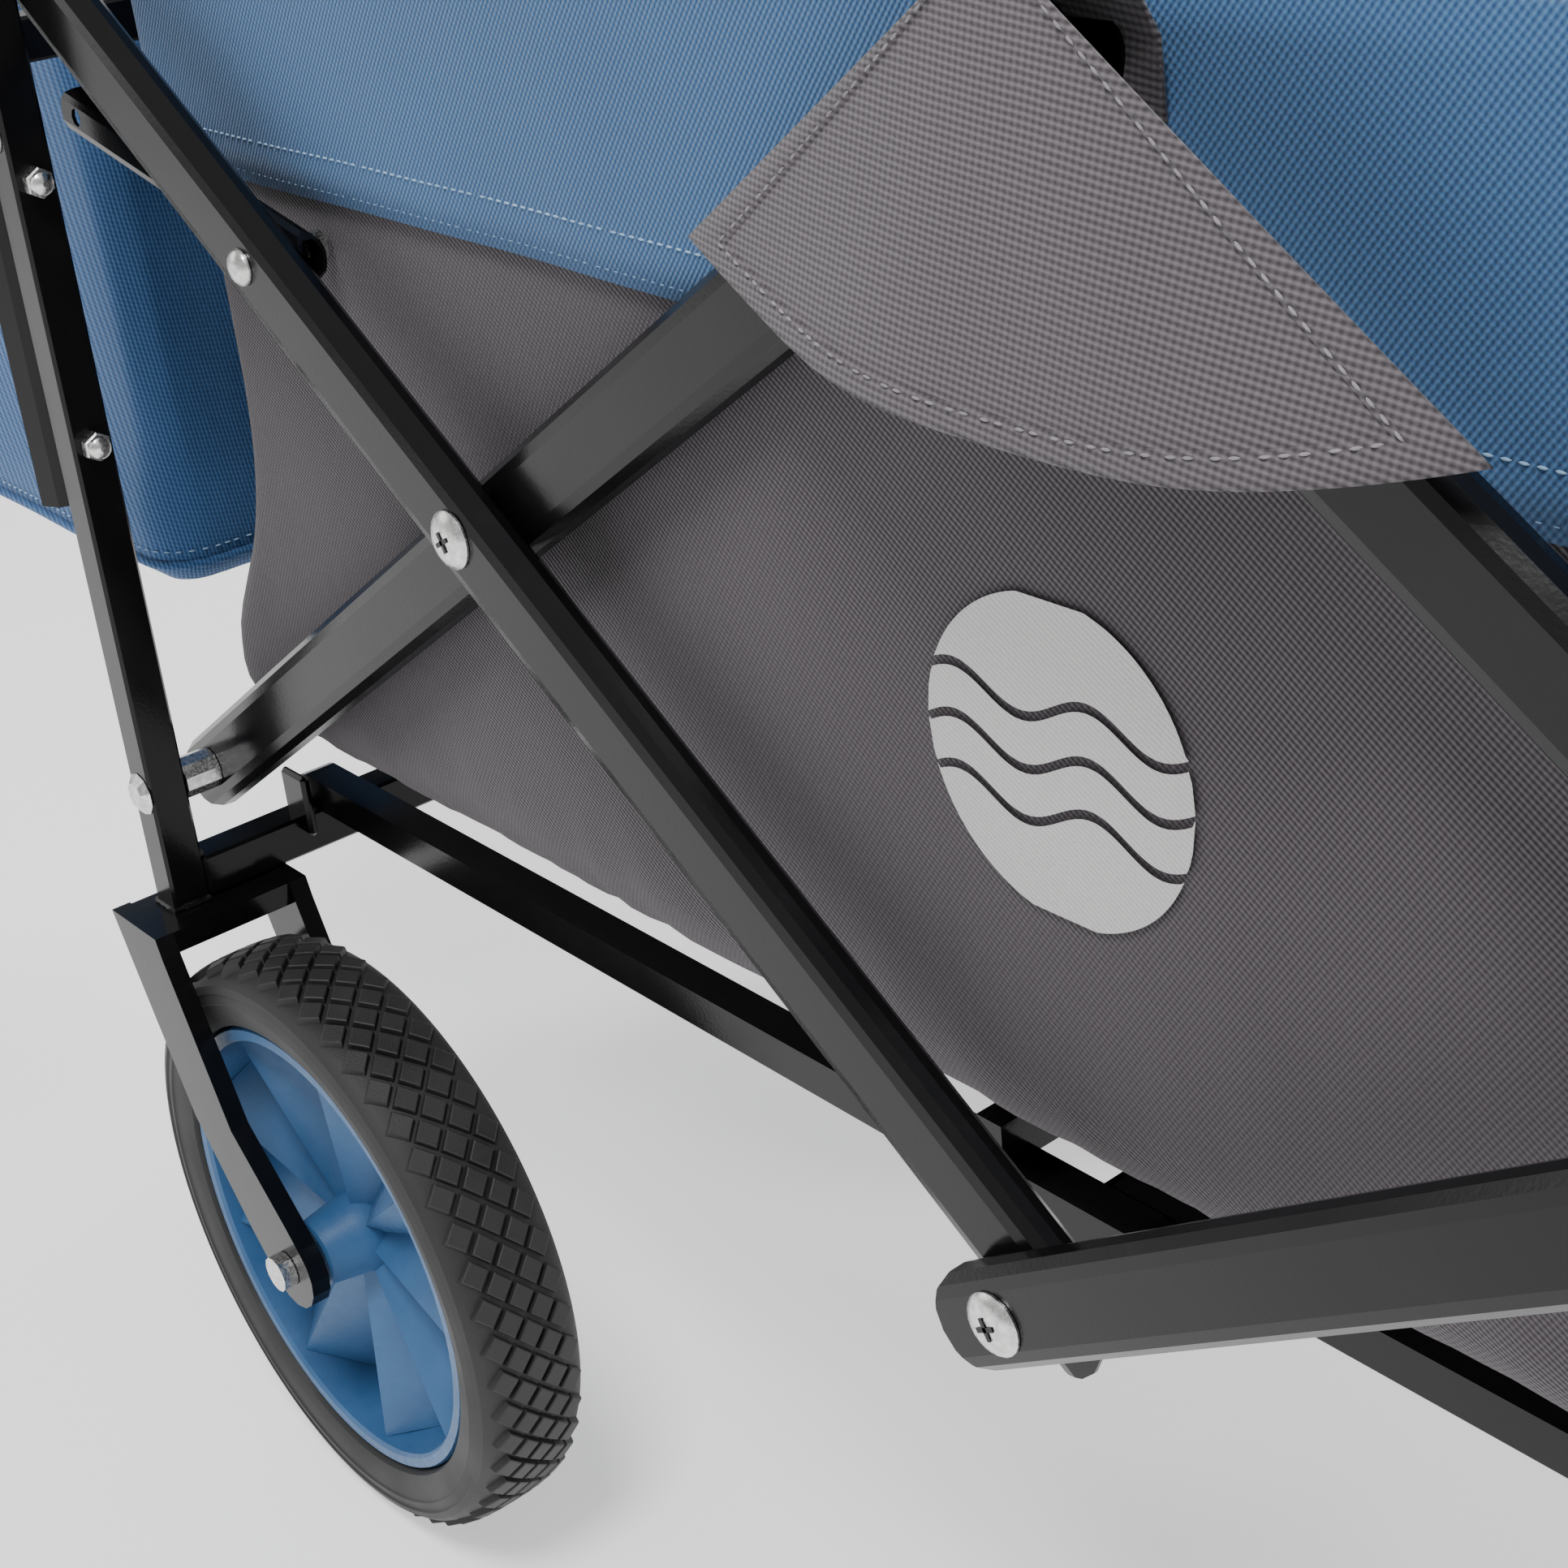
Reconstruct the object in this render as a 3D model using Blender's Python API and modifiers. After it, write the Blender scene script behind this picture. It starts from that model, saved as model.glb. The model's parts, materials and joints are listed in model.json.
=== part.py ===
"""Folding beach cart: double scissor sides, fixed rear forks, swivelling front forks, fabric basket.

Metres, +Z up, +X forwards. The origin is on the ground, at the middle of the whole cart.
Places are given from the rear pivot of the side scissors: x forwards, inward from the rear
post's middle towards the cart's middle, z up. at() turns them into the cart's frame.
"""
import bpy
import bmesh
from math import cos, pi, radians, sin
from mathutils import Matrix, Vector

# ---- driving dimensions ---------------------------------------------------------------------
LENGTH = 0.952            # rear post to front post
REAR_X = -0.391           # rear post in the cart's frame
PIVOT_Z = 0.305           # lower scissor pivots above the ground
SIDE_Y = 0.250            # rear post's middle from the cart's middle
POST = 0.016              # square posts and crossbars
POST_BOTTOM = -0.0507
POST_TOP = 0.306
FRONT_OUT = 0.015         # the front posts stand this much further out
RISE = 0.318              # height of the scissors' upper pivots above the lower ones
GAP = 0.0003              # clearance between touching parts

BAR_WIDTH = 0.031
BAR_THICK = 0.014
BAR_WALL = 0.0013
BAR_END = 0.025           # bar end beyond its last pivot
PITCH = 0.015             # from one layer of bars to the next
LAYER_A = 0.0155          # middle of the layer of bars A and D, inward from the post
LAYER_B = LAYER_A + PITCH
LAYER_C = LAYER_A - PITCH
HOLE_R = 0.0033
BOLT_R = 0.0030
HEAD_R = 0.0090

STAY_PIVOT_Z = 0.2587     # stay link's pivot on the post
STAY_X = 0.1346           # where the stay link meets bar A
STAY_WIDTH = 0.018
STAY_THICK = 0.010

WHEEL_R = 0.125
RIM_R = 0.098
WHEEL_WIDTH = 0.048
AXLE_R = 0.0040
AXLE_Z = WHEEL_R - PIVOT_Z
REAR_TRAIL = 0.082        # rear axle ahead of the rear post
FRONT_TRAIL = 0.060       # front axle behind the swivel stem
REAR_WHEEL_IN = 0.0095    # rear wheel's middle, inward from the post's middle
FORK_INNER = 0.0265       # wheel's middle to the inner face of a fork blade
BLADE = 0.008
CROWN = 0.010
STEM_R = 0.005

RAIL = 0.014
RAIL_Z = -0.023
RAIL_REAR_IN = 0.067      # rear floor rails, inward
RAIL_FRONT_IN = 0.0816    # front floor rails run beside them
RAIL_PIVOT_X = 0.006
FLOOR_HINGE_X = 0.457

BASKET_REAR = 0.045
BASKET_FRONT = 0.908
BASKET_IN = 0.0440
BASKET_FLOOR = -0.0015
BASKET_TOP = 0.3185
BASKET_CORNER = 0.041
CLOTH = 0.004

FLAP_R = 0.112

BAG_REAR = -0.235
BAG_FRONT = -0.040
BAG_IN = 0.040
BAG_BOTTOM = 0.050
BAG_TOP = 0.290

TUBE_R = 0.011
PUSH_X = -0.0205
PUSH_BOTTOM = 0.118
PUSH_TOP = 0.672

HANDLE_X = LENGTH + 0.052
HANDLE_Z = -0.036
HANDLE_LEAN = radians(2.0)
HANDLE_LENGTH = 0.430

SIDES = {"right": -1, "left": 1}


def at(x, inward, z, side=-1):
    return Vector((REAR_X + x, side * (SIDE_Y - inward), PIVOT_Z + z))


# ---- scene, collections and materials -------------------------------------------------------
for old in list(bpy.data.objects):
    bpy.data.objects.remove(old, do_unlink=True)

PARTS = bpy.data.collections.new("beach_cart")
TOOLS = bpy.data.collections.new("cutters")
for collection in (PARTS, TOOLS):
    bpy.context.scene.collection.children.link(collection)


def make_material(name, colour, roughness, metallic=0.0):
    material = bpy.data.materials.new(name)
    material.use_nodes = True
    shader = material.node_tree.nodes["Principled BSDF"]
    shader.inputs["Base Color"].default_value = (*colour, 1.0)
    shader.inputs["Roughness"].default_value = roughness
    shader.inputs["Metallic"].default_value = metallic
    return material


FRAME = make_material("frame", (0.012, 0.013, 0.016), 0.32)
STEEL = make_material("steel", (0.42, 0.43, 0.45), 0.3, 1.0)
TYRE = make_material("tyre", (0.035, 0.035, 0.036), 0.75)
RIM = make_material("rim", (0.07, 0.18, 0.36), 0.5)
BLUE = make_material("blue_cloth", (0.06, 0.19, 0.44), 0.8)
GREY = make_material("grey_cloth", (0.11, 0.10, 0.115), 0.85)
FOAM = make_material("foam", (0.02, 0.02, 0.022), 0.85)


# ---- shape tools ----------------------------------------------------------------------------
def add(name, mesh, material, matrix=Matrix.Identity(4), tool=False):
    item = bpy.data.objects.new(name, mesh)
    (TOOLS if tool else PARTS).objects.link(item)
    item.matrix_world = matrix
    if tool:
        item.hide_render = True
        item.display_type = "WIRE"
        item.hide_set(False)
    else:
        mesh.materials.append(material)
    return item


def smooth(item, angle=35):
    item.data.shade_smooth()
    item.data.set_sharp_from_angle(angle=radians(angle))
    return item


def from_curve(name, curve, material, matrix, tool=False):
    """Turn a curve into a mesh with welded caps."""
    holder = bpy.data.objects.new(name + "_curve", curve)
    bpy.context.scene.collection.objects.link(holder)
    graph = bpy.context.evaluated_depsgraph_get()
    mesh = bpy.data.meshes.new_from_object(holder.evaluated_get(graph))
    bpy.data.objects.remove(holder, do_unlink=True)
    bpy.data.curves.remove(curve)
    shape = bmesh.new()
    shape.from_mesh(mesh)
    bmesh.ops.remove_doubles(shape, verts=shape.verts, dist=1e-6)
    bmesh.ops.recalc_face_normals(shape, faces=shape.faces)
    shape.to_mesh(mesh)
    shape.free()
    mesh.name = name
    mesh.materials.clear()
    return add(name, mesh, material, matrix, tool)


def outline(name, points, thickness, material, matrix, tool=False):
    """A flat outline in local XY, with half of its thickness on each side."""
    curve = bpy.data.curves.new(name, "CURVE")
    curve.dimensions = "2D"
    curve.fill_mode = "BOTH"
    curve.extrude = thickness / 2
    spline = curve.splines.new("POLY")
    spline.points.add(len(points) - 1)
    for point, (x, y) in zip(spline.points, points):
        point.co = (x, y, 0, 1)
    spline.use_cyclic_u = True
    return from_curve(name, curve, material, matrix, tool)


def pipe(name, points, radius, material, sides=3, tool=False):
    """A round tube along points, with its ends filled."""
    curve = bpy.data.curves.new(name, "CURVE")
    curve.dimensions = "3D"
    curve.bevel_depth = radius
    curve.bevel_resolution = sides
    curve.use_fill_caps = True
    spline = curve.splines.new("POLY")
    spline.points.add(len(points) - 1)
    for point, place in zip(spline.points, points):
        point.co = (*place, 1)
    return from_curve(name, curve, material, Matrix.Identity(4), tool)


def block(name, low, high, material, bevel=0.0, tool=False):
    """A box between two corners."""
    low = Vector(low)
    high = Vector(high)
    corner = Vector(min(pair) for pair in zip(low, high))
    size = Vector(abs(value) for value in high - low)
    mesh = bpy.data.meshes.new(name)
    shape = bmesh.new()
    bmesh.ops.create_cube(shape, size=1.0)
    bmesh.ops.scale(shape, vec=size, verts=shape.verts)
    shape.to_mesh(mesh)
    shape.free()
    item = add(name, mesh, material, Matrix.Translation(corner + size / 2), tool)
    if bevel:
        edge = item.modifiers.new("edge", "BEVEL")
        edge.width = bevel
        edge.segments = 1
    return item


def turned(name, profile, place, direction, material, steps=20, closed=False, tool=False):
    """A turned shape: (radius, height) points from top to bottom, turned about direction."""
    mesh = bpy.data.meshes.new(name)
    points = [(radius, 0, height) for radius, height in profile]
    edges = [(i, i + 1) for i in range(len(points) - 1)]
    if closed:
        edges.append((len(points) - 1, 0))
    mesh.from_pydata(points, edges, [])
    matrix = Matrix.Translation(place) @ Vector(direction).to_track_quat("Z", "X").to_matrix().to_4x4()
    item = add(name, mesh, material, matrix, tool)
    turn = item.modifiers.new("turn", "SCREW")
    turn.steps = steps
    turn.render_steps = steps
    turn.use_merge_vertices = True
    turn.merge_threshold = 1e-5
    turn.use_smooth_shade = True
    return item


def combine(item, tool, operation="DIFFERENCE"):
    change = item.modifiers.new(operation.lower(), "BOOLEAN")
    change.operation = operation
    change.solver = "EXACT"
    change.object = tool
    return item


def rod(name, start, end, radius, steps=14):
    """A cylinder used as a cutter or joined to another piece."""
    start = Vector(start)
    span = Vector(end) - start
    long = span.length
    profile = [(0, long), (radius, long), (radius, 0), (0, 0)]
    return turned(name, profile, start, span, None, steps, tool=True)


def stadium(length, width, steps=6):
    """A long outline with round ends, centred on the origin."""
    radius = width / 2
    middle = length / 2 - radius
    turns = [-pi / 2 + pi * i / steps for i in range(steps + 1)]
    front = [(middle + radius * cos(turn), radius * sin(turn)) for turn in turns]
    return front + [(-x, -y) for x, y in front]


def frame_along(start, end):
    """Local X from start to end, local Z across the cart, from the middle of the two."""
    along = (end - start).normalized()
    across = Vector((0, 1, 0))
    up = across.cross(along)
    return Matrix.Translation((start + end) / 2) @ Matrix((along, up, across)).transposed().to_4x4()


# ---- bars and links -------------------------------------------------------------------------
def flat_bar(name, first, last, beyond, width, thick, holes, material=FRAME):
    """A flat-oval tube with round ends. first and last are its end pivots."""
    along = (last - first).normalized()
    start = first - along * beyond[0]
    end = last + along * beyond[1]
    long = (end - start).length
    place = frame_along(start, end)
    section = place @ Matrix(((0, 0, 1), (1, 0, 0), (0, 1, 0))).to_4x4()
    bar = outline(name, stadium(width, thick, 6), long, material, section)
    inside = stadium(width - 2 * BAR_WALL, thick - 2 * BAR_WALL, 3)
    ends = outline(name + "_ends", stadium(long, width + 0.001, 8), thick * 1.5, None, place, tool=True)
    combine(bar, ends, "INTERSECT")
    combine(bar, outline(name + "_bore", inside, long * 1.1, None, section, tool=True))
    reach = Vector((0, thick, 0))
    for number, hole in enumerate(holes):
        combine(bar, rod(f"{name}_hole_{number}", hole - reach, hole + reach, HOLE_R, 8))
    return smooth(bar, 50)


def bolt(name, place, side, outer, inner, collars=(), head=0.0030, nut=0.0052):
    """A pivot bolt across the cart: its head outside outer, its nut inside inner."""
    profile = [(0, inner + nut), (0.0062, inner + nut), (0.0062, inner + GAP)]
    for low, high, radius in collars:
        profile += [(BOLT_R, inner + GAP)] if not profile or profile[-1][0] != BOLT_R else []
        profile += [(BOLT_R, high), (radius, high), (radius, low), (BOLT_R, low)]
    if not collars:
        profile += [(BOLT_R, inner + GAP)]
    profile += [(BOLT_R, outer - GAP), (HEAD_R, outer - GAP)]
    profile += [(HEAD_R * 0.62, outer - head), (0, outer - head)]
    return turned(name, profile, place, (0, -side, 0), STEEL, 10)


def layer_faces(layer):
    return layer - BAR_THICK / 2, layer + BAR_THICK / 2


def scissor_side(word, side):
    middle = LENGTH / 2
    bar_points = {
        "a": ((0.028, RISE * (1 - 0.028 / middle)), (middle, 0), LAYER_A),
        "b": ((0, 0), (middle, RISE), LAYER_B),
        "c": ((middle, 0), (LENGTH - 0.028, RISE * (1 - 0.028 / middle)), LAYER_C),
        "d": ((middle, RISE), (LENGTH, 0), LAYER_A),
    }
    crossing = {"a": (middle / 2, RISE / 2), "b": (middle / 2, RISE / 2)}
    crossing.update({"c": (1.5 * middle, RISE / 2), "d": (1.5 * middle, RISE / 2)})
    stay_z = RISE * (1 - STAY_X / middle)
    for letter, (low, high, layer) in bar_points.items():
        first = at(low[0], layer, low[1], side)
        last = at(high[0], layer, high[1], side)
        cross_x, cross_z = crossing[letter]
        holes = [at(cross_x, layer, cross_z, side)]
        if letter != "a":
            holes.append(first)
        if letter != "c":
            holes.append(last)
        upper_end = 0.017 if letter == "b" else BAR_END
        lower_end = 0.017 if letter == "d" else BAR_END
        flat_bar(f"bar_{letter}_{word}", first, last, (lower_end, upper_end), BAR_WIDTH, BAR_THICK, holes)
    rear_link = (at(0, LAYER_B - 0.002, STAY_PIVOT_Z, side), at(STAY_X, LAYER_B - 0.002, stay_z, side))
    front_link = (at(LENGTH - STAY_X, LAYER_A - 0.002, stay_z, side),
                  at(LENGTH, LAYER_A - 0.002, STAY_PIVOT_Z, side))
    for place, (start, end) in (("rear", rear_link), ("front", front_link)):
        flat_bar(f"stay_{place}_{word}", start, end, (0.011, 0.011), STAY_WIDTH, STAY_THICK, (start, end))
    a_out, a_in = layer_faces(LAYER_A)
    b_in = layer_faces(LAYER_B)[1]
    c_out = layer_faces(LAYER_C)[0]
    bolt(f"cross_bolt_rear_{word}", at(middle / 2, 0, RISE / 2, side), side, a_out, b_in)
    bolt(f"cross_bolt_front_{word}", at(1.5 * middle, 0, RISE / 2, side), side, c_out, a_in)
    bolt(f"lower_bolt_{word}", at(middle, 0, 0, side), side, c_out, a_in)
    bolt(f"upper_bolt_{word}", at(middle, 0, RISE, side), side, a_out, b_in)
    half = POST / 2
    spacer = (half + GAP, layer_faces(LAYER_B)[0] - GAP, 0.0085)
    bolt(f"rear_pivot_bolt_{word}", at(0, 0, 0, side), side, -half, b_in, [spacer])
    front_spacer = (half - FRONT_OUT + GAP, a_out - GAP, 0.0085)
    bolt(f"front_pivot_bolt_{word}", at(LENGTH, 0, 0, side), side, -half - FRONT_OUT, a_in, [front_spacer])


# ---- frames ---------------------------------------------------------------------------------
def post(name, x, inward, side, stem=False):
    half = POST / 2
    item = block(name, at(x - half, inward - half, POST_BOTTOM, side),
                 at(x + half, inward + half, POST_TOP, side), FRAME, 0.0012)
    across = Vector((0, POST, 0))
    pivot = at(x, inward, 0, side)
    combine(item, rod(name + "_pivot_hole", pivot - across, pivot + across, HOLE_R, 8))
    if stem:
        low = at(x, inward, POST_BOTTOM - 0.01, side)
        high = at(x, inward, -0.018, side)
        combine(item, rod(name + "_stem_bore", low, high, STEM_R + GAP, 14))
    return item


def lower_crossbar(name, x, end_inward, bracket_x):
    """The bar between the posts, with the two lugs that the floor frame turns on."""
    half = POST / 2
    item = block(name, at(x - half, end_inward + GAP, -0.0505, -1), at(x + half, end_inward + GAP, -0.033, 1),
                 FRAME, 0.0012)
    for word, side in SIDES.items():
        lug = block(f"{name}_lug_{word}", at(bracket_x - 0.009, 0.0535, -0.0400, side),
                    at(bracket_x + 0.009, 0.0575, -0.0130, side), None, 0.0015, tool=True)
        combine(item, lug, "UNION")
    return item


def fork(name, place, trail, side, stem=False):
    """A flat-blade fork. place is below its post; trail is the way to the axle along X."""
    stretch = abs(trail) / REAR_TRAIL
    way = 1 if trail > 0 else -1
    tip = 0.018
    heel = [(-0.015, -0.051), (-0.002, -0.080), (0.0225, -0.134), (0.0545, -0.175)]
    toe = [(0.0860, -0.158), (0.0545, -0.127), (0.0250, -0.060), (0.0220, -0.051)]
    centre = (REAR_TRAIL, AXLE_Z)
    turns = [radians(205 + i * 205 / 9) for i in range(10)]
    nose = [(centre[0] + tip * cos(turn) / stretch, centre[1] + tip * sin(turn)) for turn in turns]
    blade = [(way * stretch * x, z) for x, z in heel + nose + toe]
    if way < 0:
        blade.reverse()
    upright = Matrix(((1, 0, 0), (0, 0, -1), (0, 1, 0))).to_4x4()
    pieces = []
    for number, offset in enumerate((-1, 1)):
        middle = offset * (FORK_INNER + BLADE / 2)
        matrix = Matrix.Translation(place + Vector((0, middle, PIVOT_Z))) @ upright
        tool = number == 1
        label = name if not tool else name + "_blade"
        pieces.append(outline(label, blade, BLADE, FRAME, matrix, tool))
    item = pieces[0]
    combine(item, pieces[1], "UNION")
    ends = sorted((way * stretch * -0.0144, way * stretch * 0.0214))
    reach = FORK_INNER + BLADE / 2
    crown_low = place + Vector((ends[0], -reach, PIVOT_Z - 0.051 - CROWN))
    crown_high = place + Vector((ends[1], reach, PIVOT_Z - 0.0515))
    combine(item, block(name + "_crown", crown_low, crown_high, None, tool=True), "UNION")
    if stem:
        foot = place + Vector((0, 0, PIVOT_Z - 0.056))
        combine(item, rod(name + "_stem", foot, foot + Vector((0, 0, 0.034)), STEM_R, 14), "UNION")
    axle = place + Vector((trail, 0, PIVOT_Z + AXLE_Z))
    across = Vector((0, 0.06, 0))
    combine(item, rod(name + "_axle_hole", axle - across, axle + across, AXLE_R + GAP, 12))
    return item, axle


def wheel(name, axle):
    """Tyre, rim with its web and hub, and the axle bolt."""
    half = WHEEL_WIDTH / 2
    tread = [(WHEEL_R, half * 0.40), (WHEEL_R, -half * 0.40), (WHEEL_R - 0.005, -half * 0.80),
             (WHEEL_R - 0.017, -half), (RIM_R + 0.002, -half * 0.86), (RIM_R + GAP, -half * 0.72)]
    upper = [(RIM_R + GAP, half * 0.72), (RIM_R + 0.002, half * 0.86), (WHEEL_R - 0.017, half),
             (WHEEL_R - 0.005, half * 0.80)]
    turned(f"{name}_tyre", upper + tread, axle, (0, 1, 0), TYRE, 24, closed=True)
    bore = AXLE_R + GAP
    wide = FORK_INNER - 0.003
    top = [(bore, wide), (0.014, wide), (0.0165, 0.004), (0.088, 0.004), (RIM_R, half * 0.70)]
    rim = top + [(radius, -height) for radius, height in reversed(top)]
    turned(f"{name}_rim", rim, axle, (0, 1, 0), RIM, 24, closed=True)
    outer = FORK_INNER + BLADE + GAP
    nut = outer + 0.006
    pin = [(0, nut), (0.0075, nut), (0.0075, outer), (AXLE_R, outer)]
    profile = pin + [(radius, -height) for radius, height in reversed(pin)]
    turned(f"{name}_axle", profile, axle, (0, 1, 0), STEEL, 12)


def floor_half(name, rear, front, inward, cross_x):
    """Two rails and the crossbar on top of them."""
    low = at(rear, inward, RAIL_Z, -1)
    high = at(front, inward, RAIL_Z, -1)
    place = frame_along(low, high)
    long = high.x - low.x
    item = outline(name, stadium(long, RAIL, 6), RAIL, FRAME, place)
    shift = Matrix.Translation((0, -2 * low.y, 0))
    other = outline(name + "_rail", stadium(long, RAIL, 6), RAIL, None, shift @ place, tool=True)
    combine(item, other, "UNION")
    top = RAIL_Z + RAIL / 2
    edge = inward - RAIL / 2
    cross = block(name + "_cross", at(cross_x, edge, top - 0.002, -1),
                  at(cross_x + 0.0105, edge, BASKET_FLOOR - 0.0006, 1), None, tool=True)
    return combine(item, cross, "UNION")


def rounded_path(corners, radius, steps=6):
    """Straight runs through corners, with a round bend at each inner corner."""
    path = [corners[0]]
    for before, corner, after in zip(corners, corners[1:], corners[2:]):
        back = (before - corner).normalized()
        ahead = (after - corner).normalized()
        half = back.angle(ahead) / 2
        inset = radius / (sin(half) / cos(half))
        centre = corner + (back + ahead).normalized() * (radius / sin(half))
        start = corner + back * inset - centre
        end = corner + ahead * inset - centre
        path += [centre + start.lerp(end, i / steps).normalized() * radius for i in range(steps + 1)]
    return path + [corners[-1]]


def push_bar():
    lean = 0.085
    corners = [at(PUSH_X, -0.002, PUSH_BOTTOM, -1), at(PUSH_X, -0.002, 0.420, -1),
               at(PUSH_X - lean, -0.002, PUSH_TOP, -1), at(PUSH_X - lean, -0.002, PUSH_TOP, 1),
               at(PUSH_X, -0.002, 0.420, 1), at(PUSH_X, -0.002, PUSH_BOTTOM, 1)]
    smooth(pipe("push_bar", rounded_path(corners, 0.055), TUBE_R, FRAME, 2))
    middle = at(PUSH_X - lean, SIDE_Y, PUSH_TOP)
    half = 0.105
    inner = TUBE_R + GAP
    sleeve = [(inner, half), (0.0155, half), (0.0170, half - 0.003),
              (0.0170, 0.003 - half), (0.0155, -half), (inner, -half)]
    turned("push_bar_grip", sleeve, middle, (0, 1, 0), FOAM, 20, closed=True)


def pull_handle():
    plate = block("handle_bracket", at(LENGTH + POST / 2 + GAP, SIDE_Y - 0.020, -0.050, -1),
                  at(LENGTH + POST / 2 + 0.006, SIDE_Y + 0.020, -0.022, -1), FRAME)
    for word, side in SIDES.items():
        ear = block(f"handle_ear_{word}", at(LENGTH + POST / 2 + 0.004, SIDE_Y - 0.020, -0.050, side),
                    at(HANDLE_X + 0.010, SIDE_Y - 0.015, -0.022, side), None, tool=True)
        combine(plate, ear, "UNION")
    pin_end = Vector((0, 0.016, 0))
    pivot = at(HANDLE_X, SIDE_Y, HANDLE_Z)
    combine(plate, rod("handle_pin", pivot - pin_end, pivot + pin_end, 0.004, 12), "UNION")
    up = Vector((-sin(HANDLE_LEAN), 0, cos(HANDLE_LEAN)))
    low = -0.012
    bore = 0.0083
    sleeve = [(bore, HANDLE_LENGTH), (TUBE_R, HANDLE_LENGTH), (TUBE_R, low),
              (0, low), (0, 0.030), (bore, 0.030)]
    tube = turned("handle_tube", sleeve, pivot, up, FRAME, 20, closed=True)
    reach = Vector((0, 0.02, 0))
    combine(tube, rod("handle_tube_hole", pivot - reach, pivot + reach, 0.0043, 12))
    top = HANDLE_LENGTH + 0.045
    stick = [(0, top), (0.008, top), (0.008, 0.070), (0, 0.070)]
    turned("handle_inner_tube", stick, pivot, up, STEEL, 16)
    middle = pivot + up * (top + 0.014 + GAP)
    half = 0.062
    grip = [(0, half), (0.011, half), (0.0135, half - 0.006),
            (0.0135, 0.006 - half), (0.011, -half), (0, -half)]
    turned("handle_grip", grip, middle, (0, 1, 0), FOAM, 20)


# ---- soft goods -----------------------------------------------------------------------------
def trough(half_width, floor, top, corner, steps=6):
    """The basket's outline from the front: open at the top, round at the lower corners."""
    arc = [radians(270 + 90 * i / steps) for i in range(steps + 1)]
    side = [(half_width - corner + corner * cos(turn), floor + corner + corner * sin(turn)) for turn in arc]
    half = side + [(half_width, top)]
    return half + [(-y, z) for y, z in reversed(half)]


def basket():
    long = BASKET_FRONT - BASKET_REAR
    half = SIDE_Y - BASKET_IN
    facing = Matrix(((0, 0, 1), (1, 0, 0), (0, 1, 0))).to_4x4()
    place = Matrix.Translation(at(BASKET_REAR + long / 2, SIDE_Y, 0)) @ facing
    outer = outline("basket", trough(half, BASKET_FLOOR, BASKET_TOP, BASKET_CORNER), long, GREY, place)
    inner = trough(half - CLOTH, BASKET_FLOOR + CLOTH, BASKET_TOP + 0.05, BASKET_CORNER - CLOTH)
    return combine(outer, outline("basket_inside", inner, long - 2 * CLOTH, None, place, tool=True))


def rounded_box(long, wide, radius, steps=3):
    """A rectangle with round corners, centred on the origin."""
    points = []
    for turn, (x, y) in zip(range(4), ((1, 1), (-1, 1), (-1, -1), (1, -1))):
        for i in range(steps + 1):
            angle = pi / 2 * (turn + i / steps)
            points.append((x * (long / 2 - radius) + radius * cos(angle),
                           y * (wide / 2 - radius) + radius * sin(angle)))
    return points


def rear_bag():
    long, wide, tall = BAG_REAR - BAG_FRONT, 2 * (SIDE_Y - BAG_IN), BAG_TOP - BAG_BOTTOM
    centre = at((BAG_REAR + BAG_FRONT) / 2, SIDE_Y, (BAG_TOP + BAG_BOTTOM) / 2)
    bag = outline("rear_bag", rounded_box(-long, wide, 0.022), tall, BLUE, Matrix.Translation(centre))
    inner = rounded_box(-long - 2 * CLOTH, wide - 2 * CLOTH, 0.018)
    lift = Vector((0, 0, CLOTH + 0.05))
    raised = Matrix.Translation(centre + lift)
    return combine(bag, outline("rear_bag_inside", inner, tall + 0.10, None, raised, tool=True))


def flap(word, side):
    """The half-round cover over the scissors' upper bolt."""
    middle = LENGTH / 2
    turns = [radians(200 + 140 * i / 10) for i in range(11)]
    lower = [(FLAP_R * cos(turn), FLAP_R * sin(turn) - 0.001) for turn in turns]
    points = lower + [(0.022, 0.026), (-0.022, 0.026)]
    upright = Matrix(((1, 0, 0), (0, 0, -1), (0, 1, 0))).to_4x4()
    matrix = Matrix.Translation(at(middle, -0.0010, RISE - 0.006, side)) @ upright
    return outline(f"flap_{word}", points, 0.003, GREY, matrix)


# ---- the cart -------------------------------------------------------------------------------
for word, side in SIDES.items():
    scissor_side(word, side)
    post(f"rear_post_{word}", 0, 0, side)
    post(f"front_post_{word}", LENGTH, -FRONT_OUT, side, stem=True)
    below = at(0, REAR_WHEEL_IN, 0, side)
    below.z = 0
    wheel(f"rear_{word}", fork(f"rear_fork_{word}", below, REAR_TRAIL, side)[1])
    below = at(LENGTH, -FRONT_OUT, 0, side)
    below.z = 0
    wheel(f"front_{word}", fork(f"front_fork_{word}", below, -FRONT_TRAIL, side, stem=True)[1])
    flap(word, side)

lower_crossbar("rear_lower_crossbar", 0, POST / 2, RAIL_PIVOT_X)
lower_crossbar("front_lower_crossbar", LENGTH, POST / 2 - FRONT_OUT, LENGTH - RAIL_PIVOT_X)
block("rear_upper_crossbar", at(PUSH_X - 0.008, TUBE_R, 0.278, -1), at(PUSH_X + 0.008, TUBE_R, 0.294, 1),
      FRAME, 0.0012)
block("front_upper_crossbar", at(LENGTH + 0.0083, -0.023, 0.278, -1), at(LENGTH + 0.0243, -0.023, 0.294, 1),
      FRAME, 0.0012)
end = RAIL / 2
floor_half("floor_frame_rear", RAIL_PIVOT_X - end, FLOOR_HINGE_X + 0.013, RAIL_REAR_IN, 0.401)
floor_half("floor_frame_front", FLOOR_HINGE_X - 0.022, LENGTH - RAIL_PIVOT_X + end, RAIL_FRONT_IN, 0.790)
push_bar()
pull_handle()
basket()
rear_bag()
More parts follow.
